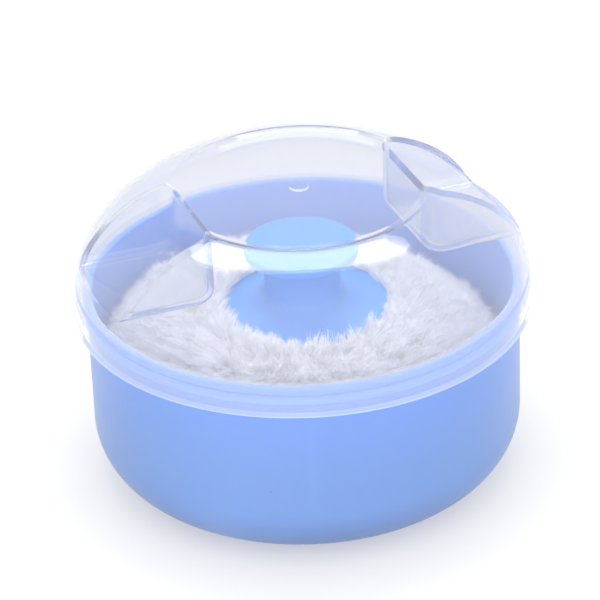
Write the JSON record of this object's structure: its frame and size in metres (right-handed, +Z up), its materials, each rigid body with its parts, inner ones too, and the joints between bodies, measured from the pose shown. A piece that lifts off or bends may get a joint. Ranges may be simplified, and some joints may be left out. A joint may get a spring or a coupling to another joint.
{
  "type": "powder puff box",
  "caption": "Round moulded powder box with a clear domed push-on lid, finger pockets, sifter tray and a plush puff on a spool handle.",
  "frame": {"origin": "centre of the foot ring's underside, on the surface that the box stands on", "axes": "+Z up along the axis of bowl, puff and lid; the lid's two finger pockets lie on -X and +X"},
  "size_m": [0.1013, 0.1012, 0.068],
  "materials": {
    "blue_plastic": "satin moulded polypropylene, cornflower blue",
    "handle_plastic": "satin moulded polypropylene, a little brighter blue",
    "white_plastic": "plain moulded polypropylene",
    "clear_plastic": "clear moulded polystyrene, glossy, very slightly milky",
    "white_plush": "long soft pile",
    "fibre_filling": "loose polyester fibre",
    "seam_thread": "stitched cotton thread"
  },
  "bodies": {
    "bowl": {"bowl": "blue_plastic"},
    "tray": {"sifter_tray": "white_plastic"},
    "puff": {"puff_handle": "handle_plastic", "puff_back_plate": "white_plastic", "puff_plush_top": "white_plush", "puff_plush_bottom": "white_plush", "puff_filling": "fibre_filling", "puff_seam": "seam_thread"},
    "lid": {"lid": "clear_plastic"}
  },
  "joints": [
    {"name": "tray_lift", "type": "slide", "parent": "bowl", "child": "tray", "axis": [0, 0, 1], "range_m": [0, 0.045]},
    {"name": "puff_lift", "type": "slide", "parent": "tray", "child": "puff", "axis": [0, 0, 1], "range_m": [0, 0.06]},
    {"name": "lid_lift", "type": "slide", "parent": "puff", "child": "lid", "axis": [0, 0, 1], "range_m": [0, 0.07]}
  ]
}
